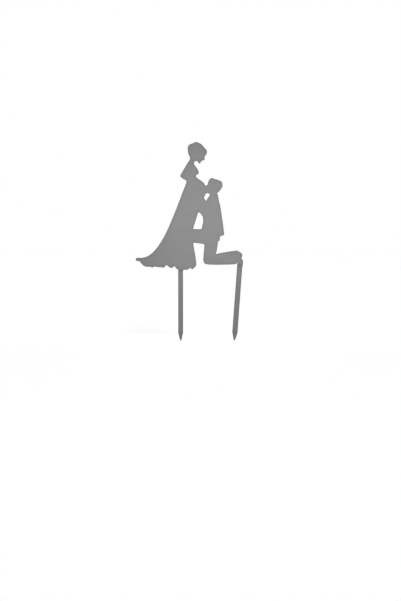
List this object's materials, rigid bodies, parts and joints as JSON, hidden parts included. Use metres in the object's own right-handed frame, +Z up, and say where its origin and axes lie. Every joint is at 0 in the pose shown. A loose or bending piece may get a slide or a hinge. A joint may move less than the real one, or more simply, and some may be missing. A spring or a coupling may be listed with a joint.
{
  "type": "cake topper",
  "caption": "Flat laser-cut cake topper: a bride and a kneeling groom in silhouette, held up by stakes bonded to its back.",
  "frame": {"origin": "on the surface that the stakes are pushed into, midway between the stakes and in the middle of their thickness", "axes": "+Z up out of that surface, +X to the right as seen from the front, +Y to the back"},
  "size_m": [0.1288, 0.0065, 0.2372],
  "materials": {
    "silver_grey_acrylic": "satin cast sheet with laser-cut edges",
    "clear_adhesive": "clear soft acrylic pad"
  },
  "bodies": {
    "root": {"couple_panel": "silver_grey_acrylic", "left_stake": "silver_grey_acrylic", "right_stake": "silver_grey_acrylic", "left_bond_pad": "clear_adhesive", "right_bond_pad": "clear_adhesive"}
  },
  "joints": []
}
